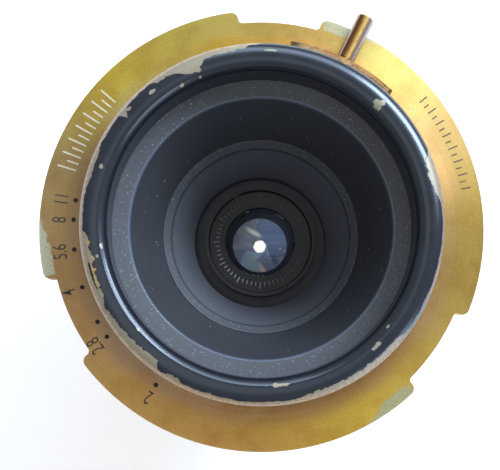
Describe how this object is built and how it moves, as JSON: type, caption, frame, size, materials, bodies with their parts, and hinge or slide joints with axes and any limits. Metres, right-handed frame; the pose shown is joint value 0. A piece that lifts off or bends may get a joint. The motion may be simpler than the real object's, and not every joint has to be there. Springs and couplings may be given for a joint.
{
  "type": "bayonet camera lens",
  "caption": "Wide-angle camera lens with a black hood, a brass bayonet flange and a pin on its aperture ring that opens and closes a bladed iris.",
  "frame": {"origin": "on the optical axis at the rear face of the brass flange, which seats on the camera", "axes": "+Z along the optical axis towards the subject; +Y is the side towards which the aperture pin leans when the lens stands, and +X completes the right-handed frame"},
  "size_m": [0.095, 0.0945, 0.0646],
  "materials": {
    "flange_brass": "turned brass, tarnished, with worn pale patches beside the notches",
    "steel": "bright steel screws and washer",
    "housing_black": "satin black anodised aluminium",
    "hood_enamel": "semi-gloss black enamel, rubbed through at the edge",
    "shade_black": "matt black optical paint",
    "ring_bronze": "bronze with worn black paint",
    "pin_copper": "polished copper brass",
    "sleeve_aluminium": "turned aluminium, dulled",
    "brass": "machined brass",
    "block_black": "black anodised aluminium",
    "name_black": "black anodised aluminium with white engraving",
    "glass": "coated optical glass",
    "blade_steel": "thin blued steel"
  },
  "bodies": {
    "root": {"flange": "flange_brass", "flange_screws": "steel", "housing": "housing_black", "rear_barrel": "housing_black", "hood": "hood_enamel", "shade_front": "shade_black", "shade_rear": "shade_black", "friction_washer": "steel", "iris_base": "brass", "lens_block": "block_black", "front_cell": "block_black", "name_ring": "name_black", "front_element": "glass", "front_spacer": "block_black", "front_crown": "glass", "front_flint": "glass", "rear_flint": "glass", "rear_crown": "glass", "rear_spacer": "block_black", "rear_element": "glass", "rear_retaining_ring": "block_black", "lock_ring": "block_black"},
    "aperture": {"aperture_ring": "ring_bronze", "aperture_pin": "pin_copper", "key_screws": "steel", "drive_sleeve": "sleeve_aluminium", "cam_drive_screws": "steel", "iris_cam": "block_black"},
    "blade_1": {"iris_blade_1": "blade_steel"},
    "blade_2": {"iris_blade_2": "blade_steel"},
    "blade_3": {"iris_blade_3": "blade_steel"},
    "blade_4": {"iris_blade_4": "blade_steel"},
    "blade_5": {"iris_blade_5": "blade_steel"},
    "blade_6": {"iris_blade_6": "blade_steel"}
  },
  "joints": [
    {"name": "aperture_turn", "type": "hinge", "parent": "root", "child": "aperture", "pos_m": [0, 0, 0.006], "axis": [0, 0, 1], "range_deg": [-5.43, 59.27]},
    {"name": "blade_1_swing", "type": "hinge", "parent": "root", "child": "blade_1", "pos_m": [0.01099, 0, -0.0352], "axis": [0, 0, 1], "range_deg": [-16.85, 1.54]},
    {"name": "blade_2_swing", "type": "hinge", "parent": "root", "child": "blade_2", "pos_m": [0.0055, 0.00952, -0.0352], "axis": [0, 0, 1], "range_deg": [-16.85, 1.54]},
    {"name": "blade_3_swing", "type": "hinge", "parent": "root", "child": "blade_3", "pos_m": [-0.0055, 0.00952, -0.0352], "axis": [0, 0, 1], "range_deg": [-16.85, 1.54]},
    {"name": "blade_4_swing", "type": "hinge", "parent": "root", "child": "blade_4", "pos_m": [-0.01099, 0, -0.0352], "axis": [0, 0, 1], "range_deg": [-16.85, 1.54]},
    {"name": "blade_5_swing", "type": "hinge", "parent": "root", "child": "blade_5", "pos_m": [-0.0055, -0.00952, -0.0352], "axis": [0, 0, 1], "range_deg": [-16.85, 1.54]},
    {"name": "blade_6_swing", "type": "hinge", "parent": "root", "child": "blade_6", "pos_m": [0.0055, -0.00952, -0.0352], "axis": [0, 0, 1], "range_deg": [-16.85, 1.54]}
  ],
  "couplings": [
    {"joint": "blade_1_swing", "follows": "aperture_turn", "ratio": -0.28423},
    {"joint": "blade_2_swing", "follows": "aperture_turn", "ratio": -0.28423},
    {"joint": "blade_3_swing", "follows": "aperture_turn", "ratio": -0.28423},
    {"joint": "blade_4_swing", "follows": "aperture_turn", "ratio": -0.28423},
    {"joint": "blade_5_swing", "follows": "aperture_turn", "ratio": -0.28423},
    {"joint": "blade_6_swing", "follows": "aperture_turn", "ratio": -0.28423}
  ]
}
